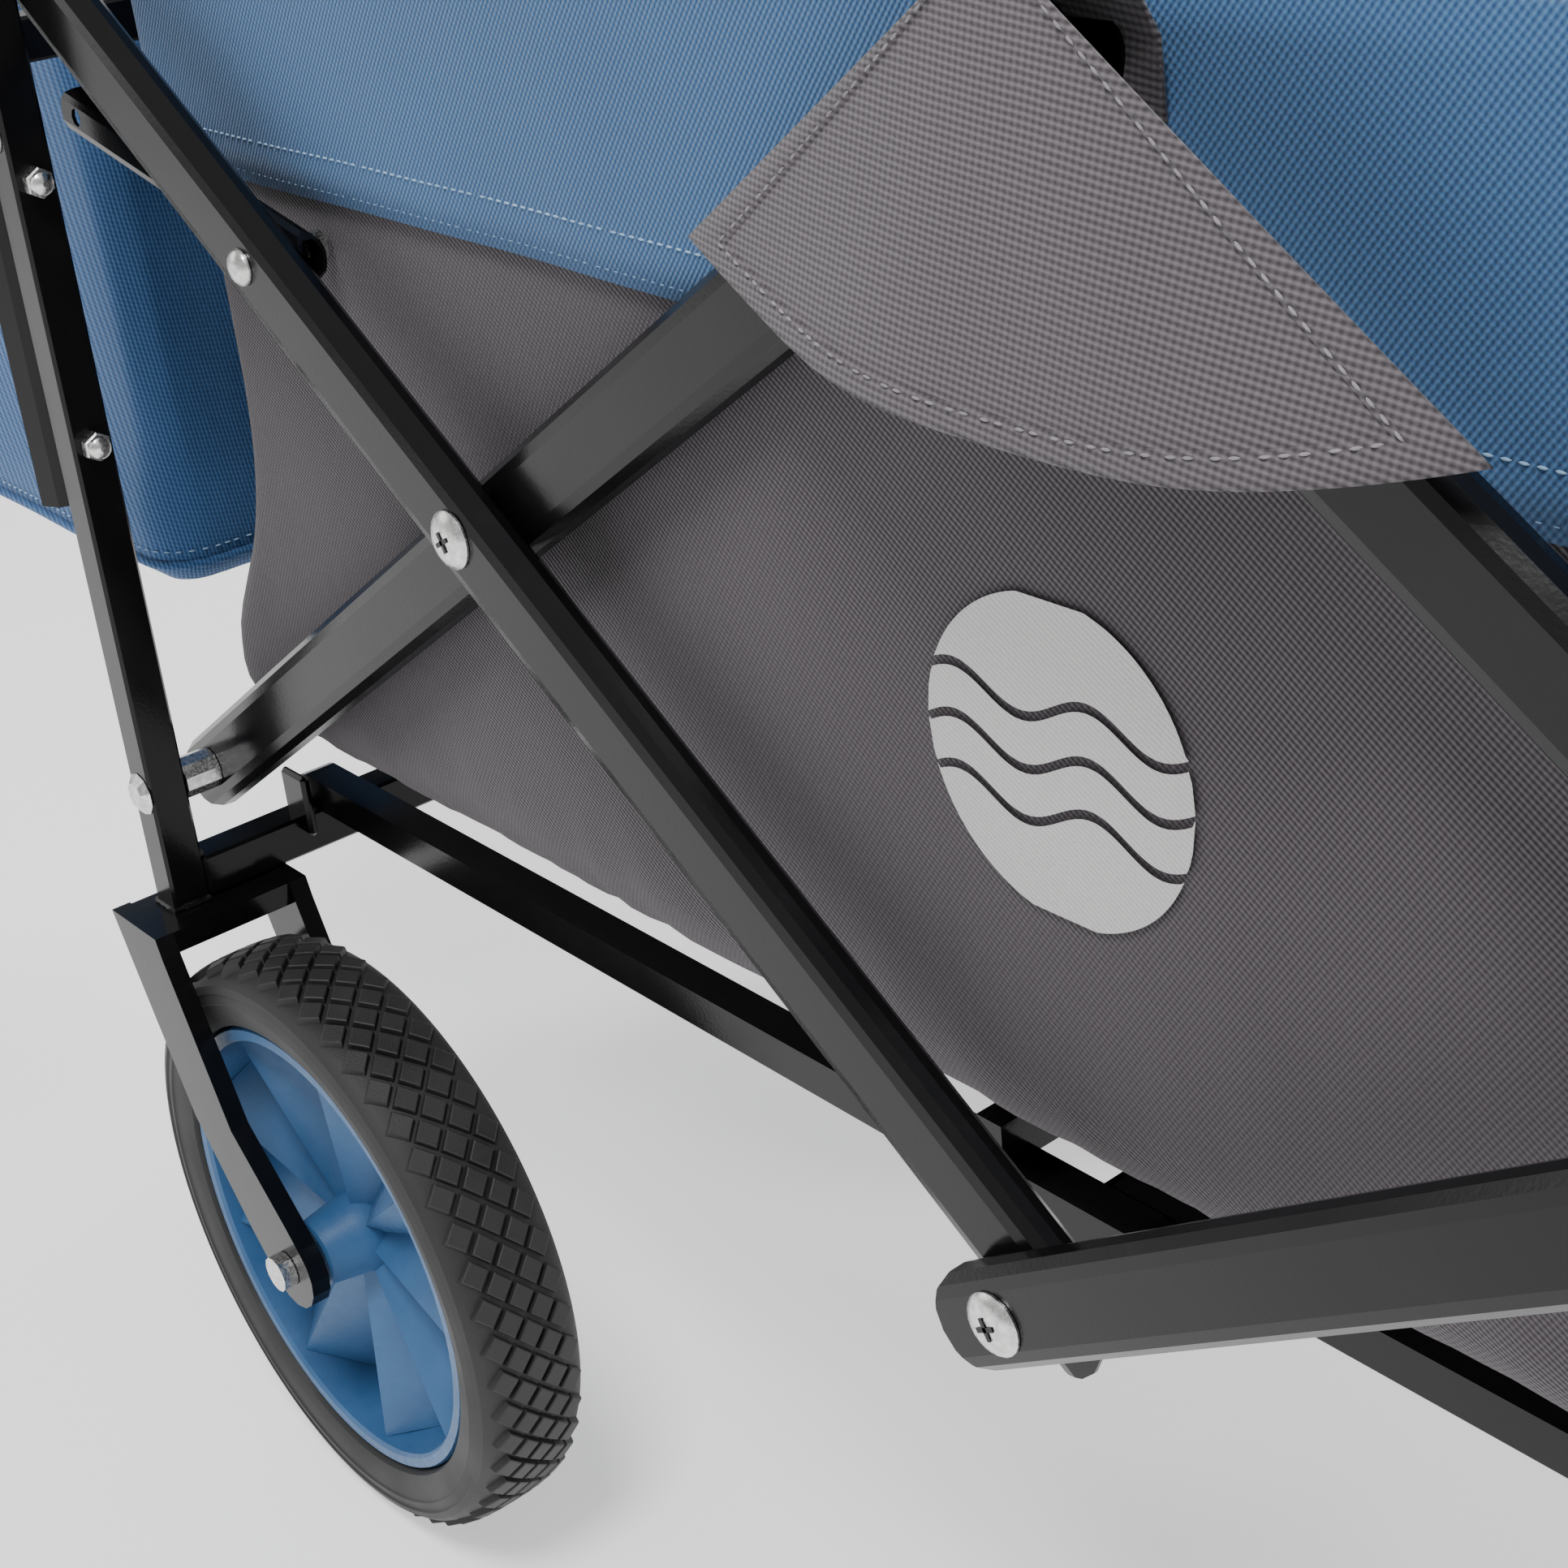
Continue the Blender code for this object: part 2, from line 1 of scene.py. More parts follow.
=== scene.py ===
"""Looks of the folding beach cart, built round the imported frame. Metres, in the frame's own axes."""

import json
from math import cos, exp, pi, radians, sin

import bmesh
import bpy
from mathutils import Matrix, Vector, noise


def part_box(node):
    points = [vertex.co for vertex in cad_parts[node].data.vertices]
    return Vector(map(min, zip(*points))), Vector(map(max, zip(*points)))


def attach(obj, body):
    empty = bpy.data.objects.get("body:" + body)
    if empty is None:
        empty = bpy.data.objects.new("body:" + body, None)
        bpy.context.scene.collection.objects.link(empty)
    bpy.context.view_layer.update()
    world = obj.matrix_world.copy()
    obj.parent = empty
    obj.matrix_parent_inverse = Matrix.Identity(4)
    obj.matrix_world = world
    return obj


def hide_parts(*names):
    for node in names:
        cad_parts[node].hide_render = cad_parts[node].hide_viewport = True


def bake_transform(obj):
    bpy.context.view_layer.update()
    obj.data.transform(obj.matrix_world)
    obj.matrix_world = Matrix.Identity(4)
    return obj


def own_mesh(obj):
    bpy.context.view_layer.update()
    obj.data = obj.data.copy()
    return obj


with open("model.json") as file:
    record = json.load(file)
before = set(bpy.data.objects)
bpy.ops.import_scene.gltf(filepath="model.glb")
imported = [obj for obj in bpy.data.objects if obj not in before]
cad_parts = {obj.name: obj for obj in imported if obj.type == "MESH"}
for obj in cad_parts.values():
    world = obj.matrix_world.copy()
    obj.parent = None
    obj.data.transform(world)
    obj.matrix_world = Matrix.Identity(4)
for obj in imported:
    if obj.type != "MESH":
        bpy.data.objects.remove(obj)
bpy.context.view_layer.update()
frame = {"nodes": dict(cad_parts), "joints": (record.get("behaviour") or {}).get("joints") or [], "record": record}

# ---- places, read from the frame ------------------------------------------------------------
JOINTS = {joint["name"]: joint for joint in frame["joints"]}
POST_LOW, POST_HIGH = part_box("rear_post_right")
REAR_X = (POST_LOW[0] + POST_HIGH[0]) / 2
SIDE_Y = -(POST_LOW[1] + POST_HIGH[1]) / 2
PIVOT_Z = JOINTS["fold"]["pos_m"][2]
LENGTH = JOINTS["front_stay_right"]["pos_m"][0] - REAR_X
RISE = JOINTS["upper_right"]["pos_m"][2] - PIVOT_Z
MIDDLE = LENGTH / 2
HALF_POST = (POST_HIGH[0] - POST_LOW[0]) / 2
SIDES = {"right": -1, "left": 1}


def at(x, inward, z, side=-1):
    """x forwards of the rear post, inward from its middle, z above the lower pivots."""
    return Vector((REAR_X + x, side * (SIDE_Y - inward), PIVOT_Z + z))


# ---- materials ------------------------------------------------------------------------------
class Maker:
    """A node material with short ways to add and join nodes."""

    def __init__(self, name, colour, roughness, metallic=0.0):
        self.material = bpy.data.materials.new(name)
        self.material.use_nodes = True
        self.tree = self.material.node_tree
        self.shader = self.tree.nodes["Principled BSDF"]
        self.shader.inputs["Base Color"].default_value = (*colour, 1)
        self.shader.inputs["Roughness"].default_value = roughness
        self.shader.inputs["Metallic"].default_value = metallic

    def node(self, kind, **inputs):
        made = self.tree.nodes.new("ShaderNode" + kind)
        for name, value in inputs.items():
            self.put(made, name, value)
        return made

    def put(self, node, name, value):
        socket = node.inputs[int(name[1:])] if name[0] == "i" and name[1:].isdigit() else node.inputs[name]
        if isinstance(value, bpy.types.NodeSocket):
            self.tree.links.new(value, socket)
        else:
            socket.default_value = value

    def math(self, operation, first, second=0.0, third=0.0):
        made = self.node("Math", i0=first, i1=second, i2=third)
        made.operation = operation
        return made.outputs[0]

    def place(self):
        return self.node("TexCoord").outputs["Object"]

    def along(self, direction, pitch, place):
        """How many pitches a place lies along a direction."""
        made = self.node("VectorMath", i0=place, i1=Vector(direction).normalized() / pitch)
        made.operation = "DOT_PRODUCT"
        return made.outputs["Value"]

    def noise(self, scale, detail=2.0, place=None, roughness=0.5):
        made = self.node("TexNoise", Scale=scale, Detail=detail, Roughness=roughness)
        self.tree.links.new(place or self.place(), made.inputs["Vector"])
        return made.outputs["Fac"]

    def blend(self, factor, first, second):
        made = self.tree.nodes.new("ShaderNodeMix")
        made.data_type = "RGBA"
        self.put(made, "i0", factor)
        self.put(made, "i6", first if isinstance(first, bpy.types.NodeSocket) else (*first, 1))
        self.put(made, "i7", second if isinstance(second, bpy.types.NodeSocket) else (*second, 1))
        return made.outputs[2]

    def ramp(self, value, low, high, to_low=0.0, to_high=1.0):
        made = self.node("MapRange", i0=value, i1=low, i2=high, i3=to_low, i4=to_high)
        return made.outputs[0]

    def bump(self, height, distance, strength=1.0):
        made = self.node("Bump", Height=height, Distance=distance, Strength=strength)
        self.tree.links.new(made.outputs[0], self.shader.inputs["Normal"])

    def colour(self, socket):
        self.tree.links.new(socket, self.shader.inputs["Base Color"])

    def rough(self, socket):
        self.tree.links.new(socket, self.shader.inputs["Roughness"])


def cloth(name, dark, light, ribs, cross, pitch, sheen=0.15):
    """Woven polyester: diagonal ribs, broken by the crossing threads, with slow shade changes."""
    made = Maker(name, light, 0.82)
    place = made.place()
    wander = made.noise(40, 2, place)
    rib_turn = made.math("ADD", made.along(ribs, pitch, place), made.math("MULTIPLY", wander, 0.35))
    rib = made.math("SINE", made.math("MULTIPLY", rib_turn, 2 * pi))
    thread = made.math("SINE", made.math("MULTIPLY", made.along(cross, pitch * 1.15, place), 2 * pi))
    height = made.math("MULTIPLY_ADD", rib, 0.36, made.math("MULTIPLY_ADD", thread, 0.16, 0.5))
    fibre = made.noise(2600, 2, place)
    level = made.math("ADD", height, made.math("MULTIPLY_ADD", fibre, 0.34, -0.17))
    base = made.blend(level, dark, light)
    slow = made.ramp(made.noise(7, 3, place), 0.3, 0.7, 0.90, 1.06)
    shade = made.node("VectorMath", i0=base)
    shade.operation = "SCALE"
    made.put(shade, "Scale", slow)
    made.colour(shade.outputs[0])
    made.rough(made.ramp(level, 0.0, 1.0, 0.92, 0.74))
    made.bump(level, 0.0006, 0.75)
    made.shader.inputs["Sheen Weight"].default_value = sheen
    made.shader.inputs["Sheen Roughness"].default_value = 0.5
    made.shader.inputs["Specular IOR Level"].default_value = 0.3
    return made.material


def black_paint():
    """Gloss powder coat with a faint orange peel and a little dust."""
    made = Maker("black_powder_coat", (0.010, 0.010, 0.011), 0.24)
    place = made.place()
    dust = made.ramp(made.noise(60, 4, place, 0.7), 0.55, 0.85, 0.0, 0.25)
    made.colour(made.blend(dust, (0.0035, 0.0035, 0.0040), (0.014, 0.0135, 0.0135)))
    made.rough(made.ramp(made.noise(25, 4, place), 0.3, 0.7, 0.13, 0.22))
    made.bump(made.noise(700, 2, place), 0.0001, 0.25)
    made.shader.inputs["Specular IOR Level"].default_value = 0.24
    return made.material


def zinc(name, colour=(0.72, 0.72, 0.71), roughness=0.26):
    """Zinc-plated steel with fine turning marks and slight spots."""
    made = Maker(name, colour, roughness, 1.0)
    place = made.place()
    spots = made.ramp(made.noise(420, 3, place), 0.35, 0.75)
    made.colour(made.blend(spots, tuple(0.72 * c for c in colour), tuple(min(1, 1.08 * c) for c in colour)))
    made.rough(made.ramp(made.noise(900, 2, place), 0.3, 0.7, roughness * 0.7, roughness * 1.5))
    made.bump(made.noise(1800, 2, place), 0.0001, 0.4)
    return made.material


def rubber(name, dark, light, roughness):
    """Moulded rubber or foam: fine grain and dusty high spots."""
    made = Maker(name, light, roughness)
    place = made.place()
    grain = made.noise(1500, 3, place)
    cloud = made.ramp(made.noise(30, 4, place), 0.35, 0.7)
    level = made.math("MULTIPLY_ADD", grain, 0.5, made.math("MULTIPLY", cloud, 0.5))
    made.colour(made.blend(level, dark, light))
    made.rough(made.ramp(cloud, 0.0, 1.0, roughness - 0.08, roughness + 0.08))
    made.bump(grain, 0.0003, 0.5)
    return made.material


def rim_plastic():
    """Satin moulded blue plastic with a faint moulding texture and flow marks."""
    made = Maker("rim_plastic", (0.075, 0.190, 0.365), 0.42)
    place = made.place()
    flow = made.ramp(made.noise(22, 4, place), 0.3, 0.7)
    made.colour(made.blend(flow, (0.022, 0.085, 0.205), (0.045, 0.135, 0.290)))
    made.rough(made.ramp(made.noise(300, 2, place), 0.3, 0.7, 0.36, 0.50))
    made.bump(made.noise(1100, 2, place), 0.0002, 0.35)
    return made.material


def print_ink():
    """Pale reflective ink that lets the weave show through."""
    made = Maker("print_ink", (0.52, 0.52, 0.51), 0.55)
    place = made.place()
    rib = made.math("SINE", made.math("MULTIPLY", made.along((0.5, 0.3, 0.85), 0.0014, place), 2 * pi))
    level = made.math("MULTIPLY_ADD", rib, 0.25, made.noise(2400, 2, place))
    made.colour(made.blend(level, (0.40, 0.40, 0.40), (0.62, 0.62, 0.61)))
    made.bump(level, 0.0004, 0.6)
    return made.material


BLACK = black_paint()
BOLT = zinc("zinc_bolt")
TUBE_STEEL = zinc("brushed_tube", (0.55, 0.56, 0.58), 0.34)
BLUE = cloth("blue_weave", (0.012, 0.052, 0.145), (0.066, 0.170, 0.345),
             (0.80, 0.4, -0.60), (0.6, 0.3, 0.8), 0.0015)
GREY = cloth("grey_weave", (0.024, 0.020, 0.024), (0.100, 0.087, 0.098),
             (0.55, 0.35, 0.84), (0.84, 0.3, -0.55), 0.00145)
FLAP_GREY = cloth("flap_weave", (0.040, 0.035, 0.039), (0.155, 0.138, 0.150),
                  (0.12, 0.25, 0.99), (0.99, 0.2, -0.12), 0.0017)
TYRE = rubber("tyre_rubber", (0.007, 0.007, 0.007), (0.024, 0.0235, 0.023), 0.62)
FOAM = rubber("foam_grip", (0.010, 0.010, 0.011), (0.024, 0.024, 0.026), 0.88)
RIM = rim_plastic()
INK = print_ink()
# a darker copy of the blue weave: painted shade for the bag, which hangs in shadow behind the posts
SHADED_BAG_BLUE = cloth("bag_weave_painted_shade", (0.010, 0.048, 0.145), (0.052, 0.150, 0.340),
                 (0.3, 0.95, 0.1), (0.1, 0.2, 0.95), 0.0016)
BLUE_THREAD = rubber("blue_thread", (0.18, 0.32, 0.50), (0.38, 0.54, 0.72), 0.7)
GREY_THREAD = rubber("grey_thread", (0.16, 0.15, 0.16), (0.32, 0.30, 0.32), 0.7)


# ---- mesh tools -----------------------------------------------------------------------------
def make(name, points, faces, material, smooth=True, angle=None):
    mesh = bpy.data.meshes.new(name)
    mesh.from_pydata([tuple(point) for point in points], [], faces)
    mesh.materials.append(material)
    if smooth:
        mesh.shade_smooth()
    if angle:
        mesh.set_sharp_from_angle(angle=radians(angle))
    item = bpy.data.objects.new(name, mesh)
    bpy.context.scene.collection.objects.link(item)
    return item


def grid_faces(rows, columns, closed=False):
    """Faces between rows of points, each of the same number of columns."""
    faces = []
    last = columns if closed else columns - 1
    for row in range(rows - 1):
        for column in range(last):
            after = (column + 1) % columns
            faces.append((row * columns + column, row * columns + after,
                          (row + 1) * columns + after, (row + 1) * columns + column))
    return faces


def thicken(item, thickness, offset=-1):
    shell = item.modifiers.new("thickness", "SOLIDIFY")
    shell.thickness = thickness
    shell.offset = offset
    return item


def outward(item):
    """Turn all faces the same way, out."""
    shape = bmesh.new()
    shape.from_mesh(item.data)
    bmesh.ops.recalc_face_normals(shape, faces=shape.faces)
    shape.to_mesh(item.data)
    shape.free()
    return item


def turned(name, profile, centre, direction, material, steps=24, closed=False, angle=30):
    """A turned shape from (radius, height) points about a direction through centre."""
    basis = Vector(direction).to_track_quat("Z", "X").to_matrix()
    points = []
    for radius, height in profile:
        for step in range(steps):
            turn = 2 * pi * step / steps
            points.append(Vector(centre) + basis @ Vector((radius * cos(turn), radius * sin(turn), height)))
    faces = grid_faces(len(profile), steps, True)
    if closed:
        last = (len(profile) - 1) * steps
        faces += [(last + i, last + (i + 1) % steps, (i + 1) % steps, i) for i in range(steps)]
    else:
        count = len(profile) * steps
        faces += [tuple(range(steps)), tuple(range(count - 1, count - steps - 1, -1))]
    return outward(make(name, points, faces, material, angle=angle))


def join(name, items):
    """One object from several."""
    shape = bmesh.new()
    material = items[0].data.materials[0]
    for item in items:
        shape.from_mesh(item.data)
    mesh = bpy.data.meshes.new(name)
    shape.to_mesh(mesh)
    shape.free()
    mesh.materials.append(material)
    for item in items:
        bpy.data.objects.remove(item, do_unlink=True)
    joined = bpy.data.objects.new(name, mesh)
    bpy.context.scene.collection.objects.link(joined)
    return joined


def tube(name, points, radius, material, sides=8, closed=False):
    """A round tube along points."""
    count = len(points)
    rings = []
    for i, point in enumerate(points):
        before = points[(i - 1) % count] if closed or i else point
        after = points[(i + 1) % count] if closed or i < count - 1 else point
        along = (after - before).normalized()
        across = along.cross(Vector((0.12, 0.21, 1.0))).normalized()
        up = across.cross(along)
        rings += [point + (across * cos(2 * pi * s / sides) + up * sin(2 * pi * s / sides)) * radius
                  for s in range(sides)]
    faces = grid_faces(count, sides, True)
    if closed:
        last = (count - 1) * sides
        faces += [(last + s, last + (s + 1) % sides, (s + 1) % sides, s) for s in range(sides)]
    else:
        faces += [tuple(range(sides)), tuple(range(count * sides - 1, (count - 1) * sides - 1, -1))]
    return outward(make(name, rings, faces, material, angle=50))


def stitches(name, path, normals, material, long=0.0026, gap=0.0016, wide=0.0008, high=0.0005):
    """A row of raised stitches along a path of points with outward normals."""
    points, faces = [], []
    left = 0.0
    for (a, b), normal in zip(zip(path, path[1:]), normals):
        span = (b - a).length
        along = (b - a).normalized()
        across = along.cross(normal).normalized()
        while left + long < span:
            start = a + along * left
            end = a + along * (left + long)
            base = len(points)
            for place, size, lift in ((start, 0.35, 0), (start + along * long * 0.3, 1, high),
                                      (end - along * long * 0.3, 1, high), (end, 0.35, 0)):
                points += [place - across * wide / 2 * size, place + normal * (lift + 0.0001),
                           place + across * wide / 2 * size, place - normal * 0.0006]
            for k in range(3):
                for m in range(4):
                    faces.append((base + k * 4 + m, base + k * 4 + (m + 1) % 4,
                                  base + (k + 1) * 4 + (m + 1) % 4, base + (k + 1) * 4 + m))
            faces += [(base, base + 1, base + 2, base + 3), (base + 15, base + 14, base + 13, base + 12)]
            left += long + gap
        left -= span
        left = max(left, 0.0)
    return outward(make(name, points, faces, material))


# ---- carried-over metal ---------------------------------------------------------------------
def repaint():
    """Give each shown CAD node its finish, with smooth rounded faces and softened edges."""
    finish = {"frame": BLACK, "steel": BOLT, "foam": FOAM, "tyre": TYRE, "rim": RIM,
              "blue_cloth": BLUE, "grey_cloth": GREY}
    slots = {part["node"]: part["material_slot"] for part in frame["record"]["subparts"]}
    for name, item in frame["nodes"].items():
        material = TUBE_STEEL if name == "handle_inner_tube" else finish[slots[name]]
        item.data.materials.clear()
        item.data.materials.append(material)
        for face in item.data.polygons:
            face.material_index = 0
            face.use_smooth = True
        sharp = 50 if name.startswith(("bar_", "stay_")) else 32
        item.data.set_sharp_from_angle(angle=radians(sharp))


# ---- the wheels -----------------------------------------------------------------------------
TREAD_DEPTH = 0.0026
BLOCKS_ROUND = 50
BLOCK_ROWS = 5


def wheel(place, word):
    body = f"{place}_wheel_{word}"
    low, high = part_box(f"{place}_{word}_tyre")
    centre = (Vector(low) + Vector(high)) / 2
    radius = (high[2] - low[2]) / 2
    half = (high[1] - low[1]) / 2
    rim_low, rim_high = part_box(f"{place}_{word}_rim")
    rim_r = (rim_high[2] - rim_low[2]) / 2
    tyre(f"{place}_{word}_tyre_skin", centre, radius, half, rim_r, body, f"{place}_{word}_tyre")
    rim(f"{place}_{word}_rim_shell", centre, rim_r, half, body, f"{place}_{word}_rim")


def tread_radius(radius, half, y):
    return radius - 0.0045 * (abs(y) / half) ** 3.2


def tyre(name, centre, radius, half, rim_r, body, node):
    base = []
    for i in range(17):
        y = half * 0.86 * (1 - i / 8)
        base.append((tread_radius(radius, half, y) - TREAD_DEPTH, y))
    wall = [(radius - 0.0075, 0.955), (radius - 0.0105, 0.995), (radius - 0.0112, 0.965),
            (radius - 0.0150, 1.0), (radius - 0.0157, 0.97), (rim_r + 0.0050, 0.93),
            (rim_r + 0.0015, 0.86), (rim_r + 0.0004, 0.76)]
    near = [(r, half * k) for r, k in reversed(wall)]
    far = [(r, -half * k) for r, k in wall]
    body_mesh = turned(name + "_body", near + base + far, centre, (0, 1, 0), TYRE, 128,
                       closed=True, angle=28)
    pitch = 2 * pi / BLOCKS_ROUND
    row_gap = 2 * half * 0.90 / (BLOCK_ROWS + 1)
    points, faces = [], []
    groove = 0.0011
    for row in range(BLOCK_ROWS):
        middle = (row - (BLOCK_ROWS - 1) / 2) * row_gap
        for block in range(BLOCKS_ROUND):
            turn = (block + (row % 2) / 2) * pitch
            start = len(points)
            for size, lift in ((1.0, -TREAD_DEPTH - 0.0004), (0.90, -0.0003), (0.80, 0.0)):
                for along, across in ((1, 0), (0, 1), (-1, 0), (0, -1)):
                    angle = turn + along * size * (pitch / 2 - groove / radius)
                    y = middle + across * size * (row_gap - groove)
                    y = max(-half * 0.93, min(half * 0.93, y))
                    r = tread_radius(radius, half, y) + lift
                    points.append(centre + Vector((r * cos(angle), y, r * sin(angle))))
            for ring in range(2):
                for k in range(4):
                    faces.append((start + ring * 4 + k, start + ring * 4 + (k + 1) % 4,
                                  start + ring * 4 + 4 + (k + 1) % 4, start + ring * 4 + 4 + k))
            faces.append((start + 8, start + 9, start + 10, start + 11))
            faces.append((start + 3, start + 2, start + 1, start))
    blocks = outward(make(name + "_blocks", points, faces, TYRE, smooth=False))
    whole = join(name, [body_mesh, blocks])
    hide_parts(node)
    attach(whole, body)


def rim(name, centre, rim_r, half, body, node):
    """Lip, barrel, hub and a pleated web of flat facets between hub and barrel."""
    inner = rim_r - 0.0065
    lip = [(rim_r - 0.0002, half * 0.72), (rim_r - 0.0012, half * 0.80), (inner + 0.0012, half * 0.80),
           (inner, half * 0.74), (inner - 0.0012, 0)]
    barrel_profile = lip + [(r, -y) for r, y in reversed(lip[:-1])]
    pieces = [turned(name + "_barrel", barrel_profile, centre, (0, 1, 0), RIM, 96, closed=True, angle=30)]
    hub = [(0.0045, half * 0.97), (0.0125, half * 0.97), (0.0138, half * 0.93), (0.0165, half * 0.30),
           (0.0180, 0.0)]
    hub_profile = hub + [(r, -y) for r, y in reversed(hub[:-1])]
    pieces.append(turned(name + "_hub", hub_profile, centre, (0, 1, 0), RIM, 48, closed=True, angle=30))
    pleats = 9
    web, faces = [], []
    steps = 5
    for k in range(2 * pleats):
        turn = pi * k / pleats
        way = 1 if k % 2 else -1
        for s in range(steps + 1):
            share = s / steps
            r = 0.0150 + share * (inner - 0.0150)
            y = way * half * (0.12 + 0.46 * share)
            web.append(centre + Vector((r * cos(turn), y, r * sin(turn))))
    for k in range(2 * pleats):
        after = (k + 1) % (2 * pleats)
        for s in range(steps):
            faces.append((k * (steps + 1) + s, k * (steps + 1) + s + 1,
                          after * (steps + 1) + s + 1, after * (steps + 1) + s))
    sheet = outward(make(name + "_web", web, faces, RIM, smooth=False))
    thicken(sheet, 0.0026, 0)
    graph = bpy.context.evaluated_depsgraph_get()
    solid = bpy.data.meshes.new_from_object(sheet.evaluated_get(graph))
    sheet.modifiers.clear()
    sheet.data = solid
    pieces.append(sheet)
    whole = join(name, pieces)
    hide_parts(node)
    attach(whole, body)


# ---- the basket -----------------------------------------------------------------------------
BASKET_LOW, BASKET_HIGH = (Vector(corner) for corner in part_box("basket"))
BASKET_FLOOR = BASKET_LOW.z - PIVOT_Z
HEM_RISE = 0.016             # the hem stands this much above the plain solid
BASKET_TOP = BASKET_HIGH.z - PIVOT_Z + HEM_RISE
BASKET_HALF = BASKET_HIGH.y
BASKET_BACK = BASKET_LOW.x - REAR_X
BASKET_FRONT = BASKET_HIGH.x - REAR_X
CORNER = 0.041
ENDS_R = 0.016
LONG_STEPS, END_STEPS, BEND_STEPS = 110, 40, 7


def end_bulge(z):
    """How far an end wall bellies out at height z."""
    top = min(1, max(0, (z - 0.205) / 0.065))
    return 0.009 + 0.045 * exp(-((z - 0.035) / 0.062) ** 2) + 0.026 * top * top * (3 - 2 * top)


def seam_height(x):
    dip = min(1, max(0, (x - 0.10) / 0.50)) * min(1, max(0, (LENGTH - 0.04 - x) / 0.22))
    return 0.2430 - 0.0080 * dip * dip * (3 - 2 * dip)


def side_bulge(x, z):
    """Small outward belly of a side wall, flat behind the bolts' nuts."""
    lengthwise = sin(pi * min(1, max(0, (x - BASKET_BACK) / (BASKET_FRONT - BASKET_BACK)))) ** 0.5
    upright = sin(pi * min(1, max(0, (z + 0.02) / (BASKET_TOP + 0.02))))
    belly = 0.0052 * lengthwise * upright
    for bolt_x in (MIDDLE / 2, 1.5 * MIDDLE):
        belly *= 1 - 0.95 * exp(-(((x - bolt_x) ** 2 + (z - RISE / 2) ** 2) / 0.030 ** 2))
    return belly


def plan(z, inset):
    """The wall's outline at height z: (x, y, outward x, outward y, on a side or an end)."""
    back = BASKET_BACK - end_bulge(z) + inset
    front = BASKET_FRONT + end_bulge(z) + inset * -1
    half = BASKET_HALF - inset
    radius = max(0.004, ENDS_R - inset * 0.3)
    points = []
    corners = ((front, -half, -90), (front, half, 0), (back, half, 90), (back, -half, 180))
    steps = (END_STEPS, LONG_STEPS, END_STEPS, LONG_STEPS)
    for index, (x, y, turn) in enumerate(corners):
        mid_x = x - radius if x == front else x + radius
        mid_y = y - radius if y > 0 else y + radius
        for step in range(BEND_STEPS + 1):
            angle = radians(turn + 90 * step / BEND_STEPS)
            points.append((mid_x + radius * cos(angle), mid_y + radius * sin(angle), cos(angle), sin(angle)))
        next_x, next_y, next_turn = corners[(index + 1) % 4]
        angle = radians(next_turn)
        next_mid_x = next_x - radius if next_x == front else next_x + radius
        next_mid_y = next_y - radius if next_y > 0 else next_y + radius
        start = points[-1]
        end_point = (next_mid_x + radius * cos(angle), next_mid_y + radius * sin(angle))
        for step in range(1, steps[index]):
            share = step / steps[index]
            points.append((start[0] + (end_point[0] - start[0]) * share,
                           start[1] + (end_point[1] - start[1]) * share, cos(angle), sin(angle)))
    return points


def crumple(place, sideness):
    """Soft folds: slow waves everywhere, and finer gathers low on the walls."""
    x, y, z = place
    slow = noise.noise(Vector((x * 7, y * 5, z * 6 + 3.1)))
    drawn = noise.noise(Vector((x * 26 + z * 14, y * 8, z * 7 - x * 5)))
    low = exp(-((z - 0.012) / 0.045) ** 2)
    gathers = noise.noise(Vector((x * 75 + z * 20, 4.7, z * 12)))
    return (0.0012 * slow + 0.0007 * drawn) * sideness + 0.0016 * gathers * low


def wall_points(z, inset, offset):
    """The wall's points at one height, in the frame's axes, offset outwards."""
    points = []
    for x, y, out_x, out_y in plan(z, inset):
        level = z(x) if callable(z) else z
        sideness = abs(out_y) ** 2
        out = offset + side_bulge(x, level) * sideness + crumple((x, y, level), 0.4 + 0.6 * sideness)
        points.append(Vector((REAR_X + x + out_x * out, y + out_y * out, PIVOT_Z + level)))
    return points


def wall_row(height, offset):
    """As wall_points, with the height a function of x."""
    points = []
    base = plan(BASKET_TOP - 0.07, 0.0)
    for x, y, out_x, out_y in base:
        level = height(x)
        sideness = abs(out_y) ** 2
        shift = end_bulge(level) - end_bulge(BASKET_TOP - 0.07)
        x += out_x * shift
        out = offset + side_bulge(x, level) * sideness + crumple((x, y, level), 0.4 + 0.6 * sideness)
        points.append(Vector((REAR_X + x + out_x * out, y + out_y * out, PIVOT_Z + level)))
    return points


def squash_basket(item):
    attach(item, "rear_frame")
    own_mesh(item)


def basket():
    columns = len(plan(0.1, 0))
    rows = []
    wall_steps = 34
    top = BASKET_TOP - 0.002
    corner_start = BASKET_FLOOR + CORNER
    for i in range(wall_steps + 1):
        rows.append(wall_points(top + (corner_start - top) * i / wall_steps, 0.0, -0.0006))
    for i in range(1, 10):
        turn = pi / 2 * i / 9
        rows.append(wall_points(corner_start - CORNER * sin(turn), CORNER * (1 - cos(turn)), -0.0006))
    for inset in (0.055, 0.08, 0.12, 0.16, 0.19):
        rows.append(wall_points(BASKET_FLOOR, inset, 0))
    points = [point for row in rows for point in row]
    faces = grid_faces(len(rows), columns, True)
    last = (len(rows) - 1) * columns
    faces.append(tuple(range(last, last + columns)))
    shell = outward(make("basket_cloth", points, faces, GREY))
    thicken(shell, 0.0012)
    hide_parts("basket")
    squash_basket(shell)
    band(columns)


